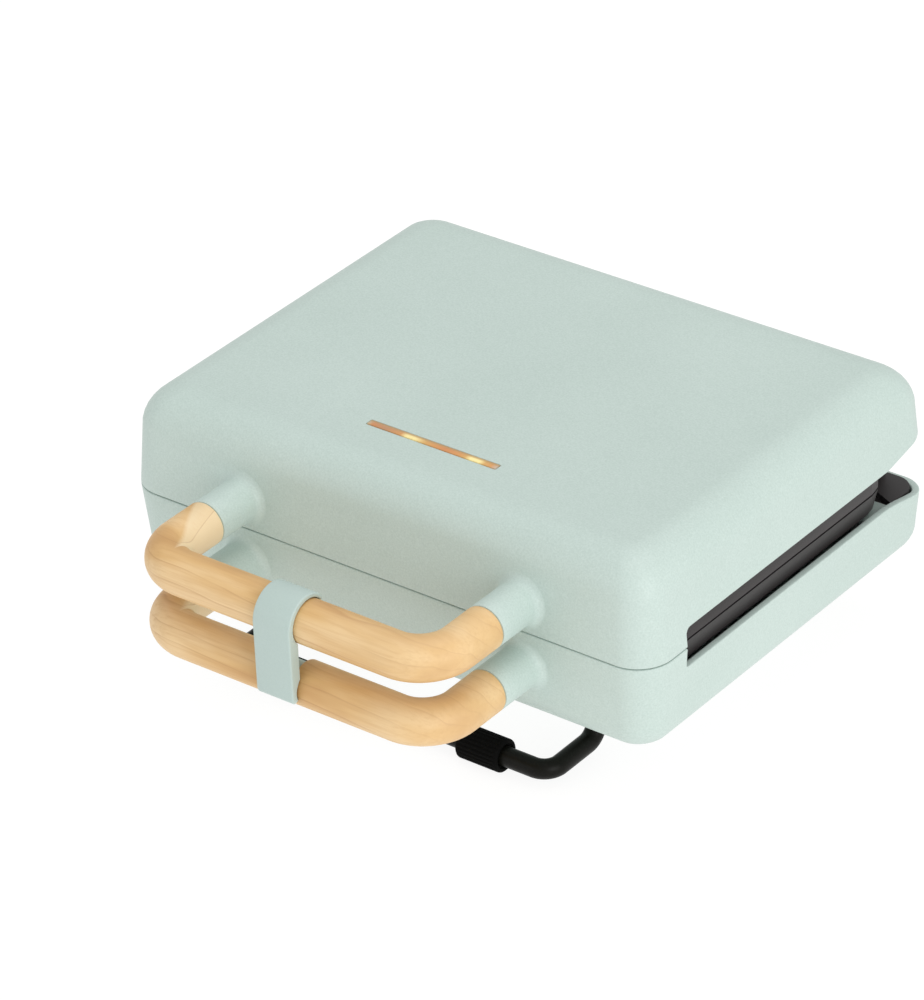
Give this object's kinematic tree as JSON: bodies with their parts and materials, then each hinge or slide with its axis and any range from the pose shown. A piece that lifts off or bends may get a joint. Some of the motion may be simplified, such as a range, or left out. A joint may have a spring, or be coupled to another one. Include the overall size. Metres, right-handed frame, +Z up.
{
  "type": "donut maker",
  "caption": "Electric donut maker: hinged lid and base shells with cast ring-cavity plates, wooden handles held by a swinging clip, on bent tube legs with rubber sleeves.",
  "frame": {"origin": "middle of the footprint at table height, under the leg sleeves", "axes": "+Z up, -Y towards the handles at the front, +Y towards the hinge, +X to the right seen from the front"},
  "size_m": [0.25, 0.262, 0.1106],
  "materials": {
    "mint_plastic": "pale mint, fine satin",
    "pale_wood": "light maple, clear satin varnish",
    "black_plastic": "black, satin, heat resistant",
    "non_stick_plate": "cast, with a dark non-stick coat",
    "black_steel": "black, semi-gloss",
    "black_rubber": "black, finely ribbed",
    "steel": "zinc plated",
    "heater_sheath": "dull dark sheath",
    "reflector_sheet": "bright sheet",
    "amber_lens": "tinted, clear and glossy",
    "ceramic": "unglazed off-white",
    "circuit_board": "green, satin",
    "lamp_glass": "warm, clear"
  },
  "bodies": {
    "base": {"base_cover": "mint_plastic", "base_inner_frame": "black_plastic", "lower_donut_plate": "non_stick_plate", "lower_heating_element": "heater_sheath", "lower_heat_reflector": "reflector_sheet", "lower_handle_grip": "pale_wood", "thermostat": "ceramic", "thermal_fuse": "steel", "terminal_block": "ceramic", "cord_gland": "black_plastic", "front_leg": "black_steel", "rear_leg": "black_steel", "hinge_block_left": "black_plastic", "hinge_pin_left": "steel", "hinge_block_screw_left": "steel", "lower_handle_screw_left": "steel", "lower_plate_screw_left": "steel", "base_screw_front_left": "steel", "leg_sleeve_front_left": "black_rubber", "leg_retainer_front_left": "steel", "base_screw_rear_left": "steel", "leg_sleeve_rear_left": "black_rubber", "leg_retainer_rear_left": "steel", "hinge_block_right": "black_plastic", "hinge_pin_right": "steel", "hinge_block_screw_right": "steel", "lower_handle_screw_right": "steel", "lower_plate_screw_right": "steel", "base_screw_front_right": "steel", "leg_sleeve_front_right": "black_rubber", "leg_retainer_front_right": "steel", "base_screw_rear_right": "steel", "leg_sleeve_rear_right": "black_rubber", "leg_retainer_rear_right": "steel"},
    "lid": {"lid_cover": "mint_plastic", "lid_inner_frame": "black_plastic", "upper_donut_plate": "non_stick_plate", "upper_heating_element": "heater_sheath", "upper_heat_reflector": "reflector_sheet", "upper_handle_grip": "pale_wood", "indicator_lens": "amber_lens", "lamp_board": "circuit_board", "power_lamp": "lamp_glass", "ready_lamp": "lamp_glass", "supply_sleeve": "ceramic", "hinge_arm_left": "black_plastic", "upper_handle_screw_left": "steel", "upper_plate_screw_left": "steel", "lid_screw_front_left": "steel", "lid_screw_rear_left": "steel", "hinge_arm_right": "black_plastic", "upper_handle_screw_right": "steel", "upper_plate_screw_right": "steel", "lid_screw_front_right": "steel", "lid_screw_rear_right": "steel"},
    "clip": {"handle_clip": "mint_plastic"}
  },
  "joints": [
    {"name": "lid_hinge", "type": "hinge", "parent": "base", "child": "lid", "pos_m": [0, 0.1167, 0.0697], "axis": [-1, 0, 0], "range_deg": [0, 105], "deforming": ["supply_sleeve"]},
    {"name": "clip_swing", "type": "hinge", "parent": "base", "child": "clip", "pos_m": [0.0015, -0.1189, 0.0532], "axis": [1, 0, 0], "range_deg": [0, 180], "deforming": ["handle_clip"]}
  ]
}
